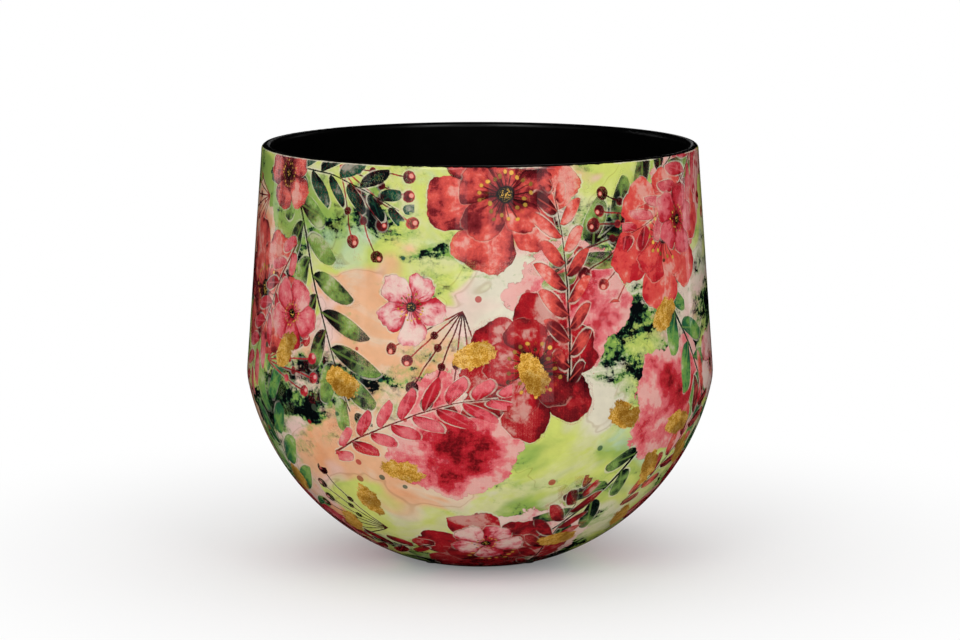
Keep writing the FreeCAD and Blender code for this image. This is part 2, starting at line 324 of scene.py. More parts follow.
def pigment(bench, inside, rim, surface, depth, pale, deep):
    """Water colour in an outline: its colour, where it lies, and the bare halo round it.

    inside and rim are how far in from the outline a point is, in millimetres, and depth is how
    much colour was laid there. surface is where it is on the pot, in metres.
    """
    ragged = (bench.mottle(surface, 620, 3, 0.6) - 0.5) * 1.1
    edge = inside + ragged
    mask = bench.ease(edge, -0.1, 0.25)
    broken = bench.mottle(surface, 75, 2)
    halo = bench.ease(edge, -1.2, -0.7) * bench.ease(broken, 0.36, 0.6)
    # How wet a point was sets its tone, with a step where a tide of colour stopped
    bloom = bench.mottle(surface, 42, 5, 0.62) - 0.5
    cloud = bench.mottle(surface, 130, 4, 0.65) - 0.5
    wet = depth + bloom * 2.9 + cloud * 1.3
    tone = bench.ease(wet, -0.1, 1.04) * 0.62 + bench.ease(wet, 0.44, 0.52) * 0.22
    body = pale * (deep / pale) ** tone
    # The wettest places hold gritty dark colour, and the driest let the paper through
    core = bench.ease(wet, 0.7, 1.18)
    grit = bench.ease(bench.mottle(surface, 560, 2, 0.7) + core * 0.12, 0.55, 0.66)
    darkest = deep * (0.3, 0.2, 0.3)
    body = bench.blend(core * 0.65 + core * grit * 0.35, body, darkest)
    body = bench.blend(bench.ease(wet, 0.05, -0.35) * 0.4, body, THIN_WASH)
    # Colour dries darker in broken lines along the outline, and along the tide
    line = bench.ease(abs(rim + ragged), 0.75, 0.1)
    tide = bench.ease(abs(wet - 0.45), 0.045, 0.0) * 0.45
    pool = bench.most(line * (bench.ease(broken, 0.4, 0.6) * 0.5 + 0.25), tide)
    dark = body * bench.blend(0.6, deep, DRIED_EDGE)
    return bench.blend(pool, body, dark), mask, halo


def wet_bloom(bench, place, size, surface, pale, deep):
    """A drop of wet colour that spread out to a frilled edge about a dark heart."""
    x, y, seed = bench.split(place)
    out = bench.length(bench.join(x, y))
    frill = bench.mottle(bench.join(x, y, seed), 2.3, 5, 0.62) - 0.5
    inside = (0.72 - out + frill * 0.75) * size
    depth = bench.ease(out - frill * 1.5, 0.72, 0.05) * 1.15 - 0.3
    return pigment(bench, inside, inside, surface, depth, pale, deep)


def petals(bench, place, count, reach, size, surface, pale, deep):
    """A ring of petals about the middle of a flower. Its outline is noisy, with soft folds."""
    x, y, seed = bench.split(place)
    wobble = bench.drift(bench.join(x, y, seed), 2.1, 1) * 0.26
    shifted = bench.join(x, y) + wobble
    x, y, none = bench.split(shifted)
    out, turn = bench.polar(x, y)
    index, aside = bench.steps(turn * count)
    one, two, three = bench.luck(index, seed, count)
    fold = abs(aside) * 2.0
    ruffle = bench.mottle(bench.join(x, y, seed), 6.5, 2) - 0.5
    crest = reach * (one * 0.16 + 0.84) * (1.0 - fold ** 3.2 * 0.3) + ruffle * 0.16
    inside = (crest - out) * size
    gap = (1.0 - fold) * out / count * math.pi * size
    rim = bench.sum("MINIMUM", inside, gap)
    # Colour is deep at the petal's base, at some tips, along one side and in the veins
    base = bench.ease(out / reach, 0.5, 0.0) * 0.75
    tip = bench.ease(out / crest, 0.7, 1.0) * two * 0.35
    tuck = bench.ease(aside, -0.12, -0.5) * 0.42
    streaks = bench.mottle(bench.join(turn * count * 3.4, out * 1.3, seed), 3.0, 2)
    vein = bench.ease(streaks, 0.5, 0.72) * bench.ease(out / reach, 1.0, 0.3) * 0.35
    depth = base + tip + tuck + vein + three * 0.4 - 0.12
    return pigment(bench, inside, rim, surface, depth, pale, deep)


def heart(bench, place, surface, dark, dust):
    """The dark middle of a flower, with its ring of stamens."""
    stamens = 21
    x, y, seed = bench.split(place)
    shifted = bench.join(x, y) + bench.drift(bench.join(x, y, seed), 5.0, 1) * 0.06
    x, y, none = bench.split(shifted)
    out, turn = bench.polar(x, y)
    index, aside = bench.steps(turn * stamens)
    aside = aside * out * (math.tau / stamens)
    one, two, three = bench.luck(index, seed, 4.0)
    ring = one * 0.13 + 0.2
    dot = bench.length(bench.join(out - ring, aside))
    dots = bench.ease(dot, 0.03, 0.019)
    thread = bench.ease(abs(aside), 0.009, 0.004) * bench.ease(out, ring, ring - 0.02)
    disc = bench.ease(out, 0.125, 0.095)
    grains = bench.ease(bench.mottle(surface, 1100, 1), 0.52, 0.6) * bench.ease(out, 0.1, 0.03)
    centre = bench.blend(grains * 0.8, dark, dust)
    mask = bench.most(dots, thread * 0.75, disc)
    return bench.blend(dots * (1.0 - disc) * three, centre, dust), mask


def spray(bench, place, size, surface, pale, deep):
    """A bent stem with slender leaves on both sides. place runs from -1 to 1 along it."""
    x, y, seed = bench.split(place)
    one, two, three = bench.luck(seed, 3.0, 1.0)
    y = y + (one - 0.5) * 0.44 * x * x + (bench.mottle(bench.join(x, seed), 1.4, 1) - 0.5) * 0.09
    side = bench.sum("SIGN", y)
    rise = abs(y)
    lean, pitch = 0.85, 0.255
    index, off = bench.steps((x - rise * lean + side * (pitch / 4)) / pitch)
    off = abs(off) * pitch / math.hypot(1, lean)
    at = index * pitch + pitch / 2
    four, five, six = bench.luck(index, seed, side)
    reach = (1.0 - at * at * 0.62) * (four * 0.11 + 0.25)
    along = rise / reach
    curve = along * (1.0 - along) * 4.0
    width = bench.most(curve, 0.0) ** 0.8 * 0.08 * (five * 0.25 + 0.85)
    # Past the ends of the stem more comes off than any leaf or stem is wide
    leafless = bench.ease(abs(at + 0.02), 0.92, 0.93) * 9.0
    stemless = bench.ease(abs(x + 0.04), 0.93, 0.95) * 9.0
    beyond = bench.most(rise - reach, 0.0)
    leaf = (width - 0.004 - off - beyond - leafless) * size
    stem = ((1.0 - x * 0.5) * 0.008 - rise - stemless) * size
    inside = bench.most(leaf, stem)
    vein = bench.ease(off, 0.011, 0.004) * bench.ease(along, 0.85, 0.7)
    depth = six * 0.55 + bench.ease(along, 0.5, 0.0) * 0.5 + bench.ease(leaf, -0.1, -0.5) * 0.6
    dye, mask, halo = pigment(bench, inside, inside, surface, depth, pale, deep)
    return bench.blend(vein * 0.45, dye, pale), mask, halo


def berries(bench, place, size, surface, pale, deep):
    """A fan of thin stems that each end in a berry, with a smaller one halfway."""
    stems, sector, fan_foot = 7, 0.24, 0.78
    x, y, seed = bench.split(place)
    y = y + fan_foot
    out = bench.length(bench.join(x, y))
    index, aside = bench.steps(bench.sum("ARCTAN2", x, y) / sector + stems / 2)
    one, two, three = bench.luck(index, seed, 9.0)
    sway = bench.mottle(bench.join(out, index, seed), 1.6, 1) - 0.5
    aside = (aside + sway * 0.5) * sector
    held = bench.ease(abs(index - (stems - 1) / 2), stems / 2 + 0.1, stems / 2 - 0.1)
    far = one * 0.5 + 1.02
    near = far * (two * 0.25 + 0.45)
    rest = aside * out
    big = (three * 0.025 + 0.085) - bench.length(bench.join(out - far, rest))
    small = 0.062 - bench.length(bench.join(out - near, rest))
    stem = bench.sum("MINIMUM", 0.013 - abs(rest), far - out)
    fruit = bench.most(big, small)
    inside = (bench.most(fruit, stem) + (held - 1.0)) * size
    glint = bench.ease(bench.length(bench.join(out - far - 0.03, rest - 0.025)), 0.05, 0.012)
    depth = bench.ease(fruit, 0.0, 0.03) * 0.35 + 0.45 - glint * 1.4
    return pigment(bench, inside, inside, surface, depth, pale, deep)


def flake(bench, place, size, surface, gold):
    """A torn flake of leaf gold, crumpled, with painted shade on parts that turn away from the light and
    painted glints on its crumples.
    """
    x, y, seed = bench.split(place)
    torn = bench.mottle(bench.join(x, y, seed * 3.7), 1.9, 5, 0.75) - 0.5
    wide = abs(x) ** 2.4 + abs(y * 1.7) ** 2.4
    inside = (0.5 - wide + torn * 1.9) * size
    grain = bench.mottle(surface, 1000, 3, 0.7)
    mask = bench.ease(inside + grain * 1.2 - 0.6, 0.0, 0.3)
    # Painted shade and painted glints: crumples and grain set darker and lighter copies of the gold
    crumple = bench.mottle(surface, 260, 3, 0.6)
    tone = grain * 0.65 + crumple * 0.45
    foil = bench.blend(bench.ease(tone, 0.46, 0.6), gold * (0.6, 0.47, 0.27), gold)
    # Painted highlight: the brightest speckles of the foil go to a pale glint colour
    foil = bench.blend(bench.ease(tone, 0.57, 0.68) * 0.5, foil, GOLD_GLINT)
    # Painted shade: whole parts of a flake are darkened as if turned away from the light
    turned_away = bench.ease(bench.mottle(bench.join(x, y, seed * 2.3), 0.8, 1), 0.54, 0.4)
    return bench.blend(turned_away * 0.8, foil, foil * (0.45, 0.4, 0.3)), mask


def washes(bench, surface, paper, lime, moss, mint, peach, blush):
    """The ground of the print: soft areas of colour that dried with a darker edge."""
    moved = surface + bench.drift(surface, 11, 2) * 0.09
    x, y, z = bench.split(moved)
    level = bench.join(x, y, z * 1.5)
    greens = bench.mottle(level, 5.0, 4, 0.5)
    warmth = bench.mottle(level + 3.7, 5.6, 4, 0.5)
    light = bench.mottle(level + 8.3, 10, 4, 0.55)
    pools = bench.mottle(level + 1.9, 17, 5, 0.6)
    thin = bench.ease(pools, 0.52, 0.36)
    strong = bench.ease(pools, 0.54, 0.68)
    orange = bench.blend(strong * 0.7, bench.blend(thin * 0.6, peach, paper), peach * (1.0, 0.72, 0.5))
    grass = bench.blend(strong * 0.35, bench.blend(thin * 0.45, lime, paper), moss)
    dye = bench.blend(bench.ease(warmth, 0.44, 0.53), paper, blush)
    dye = bench.blend(bench.ease(warmth, 0.53, 0.57) * 0.95, dye, orange)
    dye = bench.blend(bench.ease(greens, 0.459, 0.484), dye, grass)
    dye = bench.blend(bench.ease(greens + light * 0.4, 0.74, 0.82) * 0.85, dye, moss)
    dye = bench.blend(bench.ease(light, 0.57, 0.66) * 0.75, dye, mint)
    dye = bench.blend(bench.ease(light, 0.4, 0.33) * 0.6, dye, paper)
    tide = bench.ease(abs(greens - 0.462), 0.0035, 0.0005) * 0.35
    tide_warm = bench.ease(abs(warmth - 0.535), 0.003, 0.0005) * 0.4
    dye = bench.blend(bench.most(tide, tide_warm), dye, dye * (0.55, 0.42, 0.25))
    soak = bench.mottle(surface, 60, 4, 0.6) * 0.3 + 0.85
    return [dye * soak]


def blots(bench, surface, moss, pine, night):
    """Dark wet colour dabbed along the ground, with a lighter wash and a speckled dry edge."""
    x, y, z = bench.split(surface + bench.drift(surface, 45, 4) * 0.02)
    level = bench.join(x, y, z * 2.6)
    zone = bench.mottle(level, 5.5, 1) - 0.5
    dab = bench.mottle(level + 5.1, 21, 5, 0.6)
    speck = bench.mottle(surface, 340, 4, 0.75) - 0.5
    wet = dab + zone * 1.15 + speck * 0.26
    wash = bench.ease(wet, 0.48, 0.6) * 0.55
    mask = bench.ease(wet, 0.57, 0.625)
    cloud = bench.mottle(surface, 85, 4, 0.65) - 0.5
    tone = wet + cloud * 0.7
    dye = bench.blend(bench.ease(tone, 0.54, 0.68), moss, pine)
    dye = bench.blend(bench.ease(tone, 0.6, 0.7), dye, night)
    return dye, bench.most(mask, wash)


def coat_grain(bench, surface, dye, scale, contrast, roughness, spread):
    """Fine and coarse grain in a coat's colour, its gloss and its surface."""
    coarse = bench.mottle(surface, scale / 12, 3)
    fine = bench.mottle(surface, scale, 2, 0.6)
    tint = bench.blend(coarse * 0.6 + fine * 0.4, dye * (1.0 - contrast), dye * (contrast + 1.0))
    return tint, (coarse - 0.5) * spread + roughness, fine + coarse


def grain_group():
    """The grain that the coats share, built once."""
    name = "Coat grain"
    outputs = ("Colour", "Roughness", "Height")
    return bpy.data.node_groups.get(name) or group(name, coat_grain, outputs)


def splashes(bench, surface, one, other):
    """Small round drops flicked over the print."""
    dots = bench.node("ShaderNodeTexVoronoi", {"Vector": surface, "Scale": 62.0})
    first, second, third = bench.split(Value(bench, dots.outputs["Color"]))
    radius = bench.ease(first, 0.62, 1.0) * 0.17
    mask = bench.ease(Value(bench, dots.outputs["Distance"]) - radius, 0.012, -0.012)
    return bench.blend(bench.ease(second, 0.45, 0.55), one, other), mask


def print_groups():
    """The node groups that the print is made of, by name."""
    laid = ("Colour", "Mask")
    painted = ("Colour", "Mask", "Halo")
    return {
        "petals": group("Petals", petals, painted),
        "heart": group("Flower heart", heart, laid),
        "spray": group("Leafy spray", spray, painted),
        "berries": group("Berry fan", berries, painted),
        "wet_bloom": group("Wet bloom", wet_bloom, painted),
        "flake": group("Gold flake", flake, laid),
        "washes": group("Washes", washes, ("Colour",)),
        "blots": group("Blots", blots, laid),
        "splashes": group("Splashes", splashes, laid),
    }


class Print:
    """Lays the motifs of the print over each other, from the ground up."""

    def __init__(self, bench, design):
        self.bench = bench
        self.design = design
        self.groups = print_groups()
        self.surface = bench.value("ShaderNodeTexCoord", "Object")
        self.dye, = self.brush("washes", "paper", "lime", "moss", "mint", "peach", "blush")
        self.lay(*self.brush("blots", "moss", "pine", "night"))

    def brush(self, name, *dyes, **inputs):
        """Places one of the print's groups, some of whose sockets are named for the dyes in them."""
        inputs.update({dye: getattr(self.design, dye) for dye in dyes})
        return self.bench.use(self.groups[name], surface=self.surface, **inputs)

    def lay(self, dye, mask, strength=1.0):
        """Lays a colour over what is there."""
        self.dye = self.bench.blend(mask * strength, self.dye, dye)

    def layer(self, name):
        """Where each point is on the motifs of a layer, and their size in millimetres."""
        place = self.bench.value("ShaderNodeAttribute", "Vector", attribute_name=name)
        return {"place": place, "size": getattr(self.design, name) / MM}

    def dyed_layer(self, name, pale, deep):
        """A layer with a light and a deep dye for each motif, picked by its number."""
        found = self.layer(name)
        x, y, seed = self.bench.split(found["place"])
        chance, other, third = self.bench.luck(seed, 5.0, 2.0)
        for socket, dyes in (("pale", pale), ("deep", deep)):
            dyes = [getattr(self.design, dye) for dye in dyes.split()]
            found[socket] = self.bench.pick(chance, dyes)
        return found

    def motif(self, name, layer, pale, deep, halo=0.6):
        """Lays one motif at each place of a layer."""
        dye, mask, edge = self.brush(name, **self.dyed_layer(layer, pale, deep))
        self.lay(self.design.paper, edge, halo)
        self.lay(dye, mask)

    def flowers(self, layer, pale, deep, tiers):
        """Lays a flower at each place of a layer. Each tier of petals has a reach and a count."""
        found = self.dyed_layer(layer, pale, deep)
        for tier, (reach, count) in enumerate(tiers):
            dye, mask, edge = self.brush("petals", reach=reach, count=count, **found)
            self.lay(self.design.paper, edge, 0.2 if tier else 0.6)
            self.lay(dye, mask)
        d = self.design
        self.lay(*self.brush("heart", place=found["place"], dark=d.night, dust=d.gold))

    def splash(self):
        """Flicks small drops over the print."""
        d = self.design
        self.lay(*self.brush("splashes", one=d.crimson, other=d.pine), strength=0.8)

    def gild(self, layer):
        """Lays the flakes of gold, and gives where they are."""
        dye, mask = self.brush("flake", "gold", **self.layer(layer))
        self.lay(dye, mask)
        return mask


def printed_film(design, edge_radius):
    """The flower print under its clear lacquer."""
    material, bench = new_material("lacquered_print")
    work = Print(bench, design)
    work.motif("wet_bloom", "wet_bloom", "peach blush rose blush", "coral crimson crimson rose", 0.0)
    work.motif("spray", "long_spray", "moss pine moss crimson", "pine night night maroon")
    work.motif("berries", "berry_fan", "rose coral crimson", "crimson maroon night", 0.3)
    work.flowers(
        "big_flower", "coral rose crimson coral", "crimson crimson maroon maroon",
        ((0.93, 6.0), (0.6, 5.0)),
    )
    work.motif("spray", "short_spray", "crimson pine coral rose", "maroon night maroon crimson")
    work.splash()
    work.flowers(
        "small_flower", "rose blush blush coral", "crimson rose crimson maroon", ((0.93, 5.0),)
    )
    gold = work.gild("gold_flake")
    dye, rough = bench.use(
        grain_group(), surface=work.surface, dye=work.dye, scale=2000, contrast=0.14,
        roughness=0.47, spread=0.1,
    )[:2]
    dye, lapped = trimmed(bench, work.surface, dye, design, edge_radius)
    finish(bench, "ShaderNodeBsdfPrincipled", {
        "Base Color": dye,
        "Metallic": gold * 0.25,
        "Roughness": rough - gold * 0.12,
        "Specular IOR Level": 0.07,
        "Coat Weight": 1.0 - lapped * 0.7,
        "Coat Roughness": 0.03,
    })
    return material


def trimmed(bench, surface, dye, design, edge_radius):
    """The film's edge on the lip: black coat laps over it raggedly, with bare paper in places."""
    # Each pair is where something starts and is all there: the lip, and the laps in from the edge
    lip = (WRAP_HIGH.z - 3 * MM, WRAP_HIGH.z - 2.5 * MM)
    black_lap = (0.85 * MM, 0.75 * MM)
    bare_lap = (1.3 * MM, 1.1 * MM)
    lapped_dye = (0.002, 0.002, 0.002)
    x, y, z = bench.split(surface)
    in_from_edge = bench.length(bench.join(x, y)) - edge_radius
    on_lip = bench.ease(z, *lip)
    ragged = bench.mottle(surface, 300, 3, 0.65) - 0.5
    place = bench.mottle(surface, 26, 1)
    nicks = bench.ease(place, 0.42, 0.36) * 1.6 + 0.5
    black = bench.ease(in_from_edge - ragged * nicks * MM, *black_lap) * on_lip
    bare = bench.ease(in_from_edge + ragged * MM, *bare_lap) * on_lip
    bare = bare * bench.ease(place, 0.46, 0.54)
    dye = bench.blend(bare * 0.7, dye, design.paper)
    return bench.blend(black, dye, lapped_dye), black


def new_material(name):
    """An empty node material, and the bench that fills it."""
    material = bpy.data.materials.new(name)
    material.use_nodes = True
    material.node_tree.nodes.clear()
    return material, Bench(material.node_tree)


def finish(bench, kind, inputs, ending="ShaderNodeOutputMaterial"):
    """Adds a shader and sends it to the output."""
    bench.node(ending, {"Surface": bench.value(kind, 0, inputs)})


def plain_material(name, dye, roughness, spread, grain, height, specular=0.5):
    """A plain coat with fine grain in its colour, its gloss and its surface."""
    material, bench = new_material(name)
    surface = bench.value("ShaderNodeTexCoord", "Object")
    tint, rough, rise = bench.use(
        grain_group(), surface=surface, dye=dye, scale=grain, contrast=0.25,
        roughness=roughness, spread=spread,
    )
    finish(bench, "ShaderNodeBsdfPrincipled", {
        "Base Color": tint,
        "Roughness": rough,
        "Specular IOR Level": specular,
        "Normal": bench.value("ShaderNodeBump", 0, {"Height": rise, "Distance": height}),
    })
    return material


def place_object(name, data):
    """Puts an object in the scene."""
    made = bpy.data.objects.new(name, data)
    bpy.context.collection.objects.link(made)
    return made


def place_mesh(name, points, faces):
    """Puts a mesh in the scene."""
    mesh = bpy.data.meshes.new(name)
    mesh.from_pydata(points, [], faces)
    return place_object(name, mesh)


def bands(rings, around, closed=False):
    """The faces between rings of points, ring by ring, and back to the first where closed."""
    faces = []
    for ring in range(rings if closed else rings - 1):
        low, high = ring * around, (ring + 1) % rings * around
        for step in range(around):
            beside = (step + 1) % around
            faces.append((low + step, low + beside, high + beside, high + step))
    return faces


def seam_steps(node):
    """The cut through a round CAD node at its seam, as steps in order round the piece.

    A step goes from one point to the next, with the surface's own normal at each end.
    """
    digits = 7
    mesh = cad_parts[node].data
    normals = mesh.corner_normals
    leaving = {}
    for face in mesh.polygons:
        if face.center.y <= 0:
            continue
        corners = list(face.loop_indices)
        for one, two in zip(corners, corners[1:] + corners[:1]):
            ends = [mesh.vertices[mesh.loops[c].vertex_index].co for c in (one, two)]
            if all(abs(end.y) < 10 ** -digits and end.x > 0 for end in ends):
                flat = [Vector((end.x, end.z)) for end in ends]
                facing = [Vector((normals[c].vector.x, normals[c].vector.z)) for c in (one, two)]
                leaving[tuple(round(v, digits) for v in flat[0])] = (flat[0], facing[0], flat[1], facing[1])
    key = min(leaving)
    steps = []
    while key in leaving:
        steps.append(leaving.pop(key))
        key = tuple(round(v, digits) for v in steps[-1][2])
    return steps


def smooth_step(step, spacing):
    """Points from a step's start up to, and not with, its end, on the curve that its normals ask for."""
    start, start_normal, end, end_normal = step
    run = end - start
    pieces = max(1, math.ceil(run.length / spacing))
    slopes = []
    for normal in (start_normal, end_normal):
        along = Vector((-normal.y, normal.x))
        along *= math.copysign(1, along.dot(run)) * run.length / along.length
        slopes.append(along)
    for piece in range(pieces):
        t = piece / pieces
        ways = ((1 + 2 * t) * (1 - t) ** 2, t * (1 - t) ** 2, t * t * (3 - 2 * t), t * t * (t - 1))
        yield start * ways[0] + slopes[0] * ways[1] + end * ways[2] + slopes[1] * ways[3]


class Skin:
    """The rows of the wrap from CAD's own section, and the places on its outside."""

    around = 288
    fine = 3.2 * MM
    coarse = 25 * MM
    thin_edge = 0.35 * MM
    sharp_turn = math.radians(20)
    # The surface dips in long and in short waves, about so many to a metre, but not at its edges
    deepest_dip = 0.2 * MM
    long_waves = 14
    short_waves = 38
    short_share = 0.4
    edge_hold = 12 * MM

    def __init__(self, node):
        self.rows = []
        self.outer = []
        self.sharp = set()
        last_normal = None
        for step in seam_steps(node):
            shows = step[1].x > 0 and (step[2] - step[0]).length > self.thin_edge
            if last_normal is not None and last_normal.angle(step[1]) > self.sharp_turn:
                self.sharp.add(len(self.rows))
            last_normal = step[3]
            for point in smooth_step(step, self.fine if shows else self.coarse):
                self.rows.append(point)
                self.outer.append(shows)
        self.climb = [0.0]
        for one, two, shows in zip(self.rows, self.rows[1:] + self.rows[:1], self.outer):
            self.climb.append(self.climb[-1] + ((two - one).length if shows else 0.0))
        self.outside_length = self.climb[-1]

    def point(self, row, turn):
        radius, height = self.rows[row % len(self.rows)]
        return Vector((radius * math.cos(turn), radius * math.sin(turn), height))

    def waved_point(self, row, turn):
        """A point of the fired and lacquered surface, which is never quite even."""
        point = self.point(row, turn)
        if self.outer[row]:
            to_edge = min(self.climb[row], self.outside_length - self.climb[row])
            hold = min(1, to_edge / self.edge_hold) ** 2
            wave = noise.noise(point * self.long_waves)
            wave += self.short_share * noise.noise(point * self.short_waves)
            highest = 1 + self.short_share
            out = Vector((point.x, point.y, 0)).normalized()
            point -= out * ((wave + highest) / (2 * highest) * hold * self.deepest_dip)
        return point


class CACHEPOT_OT_printed_wrap(bpy.types.Operator):
    """Model the printed wrap and lay its flower print out"""

    bl_idname = "cachepot.printed_wrap"
    bl_label = "Printed wrap"

    def execute(self, context):
        design = context.scene.cachepot_print
        skin = Skin("printed_wrap")
        wrap = turned("printed_wrap_skin", skin)
        unroll(wrap.data, skin)
        lay_out(wrap.data, skin, design)
        edge_radius = max(skin.rows, key=lambda point: point.y).x
        wrap.data.materials.append(printed_film(design, edge_radius))
        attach(wrap, "root")
        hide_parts("printed_wrap")
        return {"FINISHED"}


def turned(name, skin):
    """A closed skin turned round the axis, with its edges kept sharp."""
    count, around = len(skin.rows), skin.around
    points = [
        skin.waved_point(row, math.tau * step / around)
        for row in range(count) for step in range(around)
    ]
    made = place_mesh(name, points, bands(count, around, closed=True))
    made.data.shade_smooth()
    sharp = made.data.attributes.new("sharp_edge", "BOOLEAN", "EDGE")
    for edge in made.data.edges:
        rows = {vertex // around for vertex in edge.vertices}
        sharp.data[edge.index].value = len(rows) == 1 and rows <= skin.sharp
    return made


def unroll(mesh, skin):
    """Lays the outside out flat in two strips, front and back, and the hidden faces beside them."""
    margin, strip_height = 0.01, 0.48
    outside_width = 0.93
    hidden_start, hidden_width = 0.96, 0.03
    around = skin.around
    half = around // 2
    flat = mesh.uv_layers.new(name="OFBake")
    for face in mesh.polygons:
        row, step = divmod(face.index, around)
        strip, along = divmod(step, half)
        for corner, (up, on) in zip(face.loop_indices, ((0, 0), (0, 1), (1, 1), (1, 0))):
            if skin.outer[row]:
                rise = skin.climb[row + up] / skin.outside_length
                u = margin + outside_width * (along + on) / half
            else:
                rise = (row + up) / len(skin.rows)
                u = hidden_start + hidden_width * (along + on) / half
            flat.data[corner].uv = (u, margin + 0.5 * strip + strip_height * rise)


# Each layer of motifs: how many there are at most, how far one spreads along and across as
# shares of its size, and how close two may come as a share of the room that they need
LAYERS = (
    ("wet_bloom", 12, 1.35, 1.35, 0.95),
    ("long_spray", 16, 1.05, 0.62, 0.8),
    ("berry_fan", 14, 1.0, 1.0, 0.95),
    ("big_flower", 14, 1.12, 1.12, 1.0),
    ("short_spray", 20, 1.05, 0.62, 0.88),
    ("small_flower", 14, 1.12, 1.12, 1.5),
    ("gold_flake", 22, 1.15, 0.9, 0.72),
)
# How many places are tried for each motif, and the bunches that gold gathers in: how many there
# are, which rows of the outside hold their middles, and their reach in sizes of a flake
TRIES = 30
BUNCHES = 4
BUNCH_ROWS = slice(20, 80)
BUNCH_REACH = 6


def scatter(skin, count, size, closeness, chance, gathered=False):
    """Places on the outside that keep clear of each other, each with its frame and number."""
    outside = [row for row, shows in enumerate(skin.outer) if shows]
    weights = [skin.rows[row].x * (skin.climb[row + 1] - skin.climb[row]) for row in outside]
    bunches = []
    for n in range(BUNCHES):
        row = chance.choice(outside[BUNCH_ROWS])
        bunches.append(skin.point(row, math.tau * (n + chance.uniform(0.3, 0.7)) / BUNCHES))
    found = []
    for attempt in range(count * TRIES):
        if len(found) == count:
            break
        row = chance.choices(outside, weights)[0]
        turn = chance.uniform(0, math.tau)
        spin = chance.uniform(0, math.tau)
        centre = skin.point(row, turn)
        near = min((centre - middle).length for middle in bunches)
        if gathered and near > BUNCH_REACH * size:
            continue
        if all((centre - other[0]).length > 2 * size * closeness for other in found):
            rise = (skin.point(row + 1, turn) - centre).normalized()
            across = Vector((-math.sin(turn), math.cos(turn), 0))
            along = across * math.cos(spin) + rise * math.sin(spin)
            found.append((centre, along, across.cross(rise), len(found) + 1))
    return found


def lay_out(mesh, skin, design):
    """Writes where each corner of the skin lies on the motif that it carries, layer by layer."""
    nowhere = (9.0, 9.0, 0.0)
    chance = random.Random(design.layout)
    corners = np.empty(len(mesh.loops), int)
    mesh.loops.foreach_get("vertex_index", corners)
    points = np.empty(len(mesh.vertices) * 3)
    mesh.vertices.foreach_get("co", points)
    points = points.reshape(-1, 3)[corners]
    middles = points.reshape(-1, 4, 3).mean(1)
    facing = np.cross(points[2::4] - points[0::4], points[3::4] - points[1::4])
    for name, count, spread_along, spread_across, closeness in LAYERS:
        size = getattr(design, name)
        nearest = np.full(len(middles), 1.0)
        marks = np.tile(nowhere, (len(points), 1))
        gathered = name == "gold_flake"
        for centre, along, out, number in scatter(skin, count, size, closeness, chance, gathered):
            beside = out.cross(along)
            axes = np.array((along, beside)) / size
            flat = (middles - np.array(centre)) @ axes.T
            away = np.hypot(flat[:, 0] / spread_along, flat[:, 1] / spread_across)
            taken = (away < nearest) & (facing @ np.array(out) > 0)
            nearest[taken] = away[taken]
            held = np.repeat(taken, 4)
            marks[held, :2] = (points[held] - np.array(centre)) @ axes.T
            marks[held, 2] = number
        layer = mesh.attributes.new(name, "FLOAT_VECTOR", "CORNER")
        layer.data.foreach_set("vector", marks.astype(np.float32).ravel())


def coat(context, node, dye, material, **grain):
    """Puts a plain coat on a piece that stays as CAD gives it."""
    dye = getattr(context.scene.cachepot_coats, dye)
    made = plain_material(material, dye, **grain)
    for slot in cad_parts[node].material_slots:
        slot.material = made
    return {"FINISHED"}


class CACHEPOT_OT_black_coat(bpy.types.Operator):
    """Give the inside and the lip their black satin coat"""

    bl_idname = "cachepot.black_coat"
    bl_label = "Black coat"

    def execute(self, context):
        return coat(
            context, "inner_coat", "black", "black_satin", roughness=0.3, spread=0.1, grain=700,
            height=0.03 * MM, specular=0.45,
        )


class CACHEPOT_OT_ceramic(bpy.types.Operator):
    """Give the pot's body its fired clay"""

    bl_idname = "cachepot.ceramic"
    bl_label = "Ceramic body"

    def execute(self, context):
        return coat(
            context, "pot_body", "bisque", "fired_clay", roughness=0.8, spread=0.1, grain=900,
            height=0.1 * MM,
        )


class CACHEPOT_OT_base_coat(bpy.types.Operator):
    """Give the underside its black coat"""

    bl_idname = "cachepot.base_coat"
    bl_label = "Base coat"

    def execute(self, context):
        return coat(
            context, "base_coat", "base", "matt_black", roughness=0.6, spread=0.2, grain=600,
            height=0.1 * MM, specular=0.3,
        )


class CACHEPOT_OT_foot_pads(bpy.types.Operator):
    """Model the four dense felt pads under the foot"""

    bl_idname = "cachepot.foot_pads"
    bl_label = "Foot pads"

    def execute(self, context):
        felt = felt_material(context.scene.cachepot_coats.felt)
        for node in sorted(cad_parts):
            if node.startswith("foot_pad"):
                pad = felt_disc(node + "_felt", *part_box(node))
                pad.data.materials.append(felt)
                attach(pad, "root")
                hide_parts(node)
        return {"FINISHED"}


# The section of a felt pad from its middle below to its middle above: how far out as a share
# of its radius, and how high as a share of its thickness
PAD_SECTION_SHARES = (
    (0.3, 0.0), (0.62, 0.0), (0.86, 0.0), (0.94, 0.03), (0.975, 0.12), (0.99, 0.28),
    (1.0, 0.5), (0.995, 0.72), (0.985, 0.9), (0.975, 1.0), (0.8, 1.0), (0.4, 1.0),
)


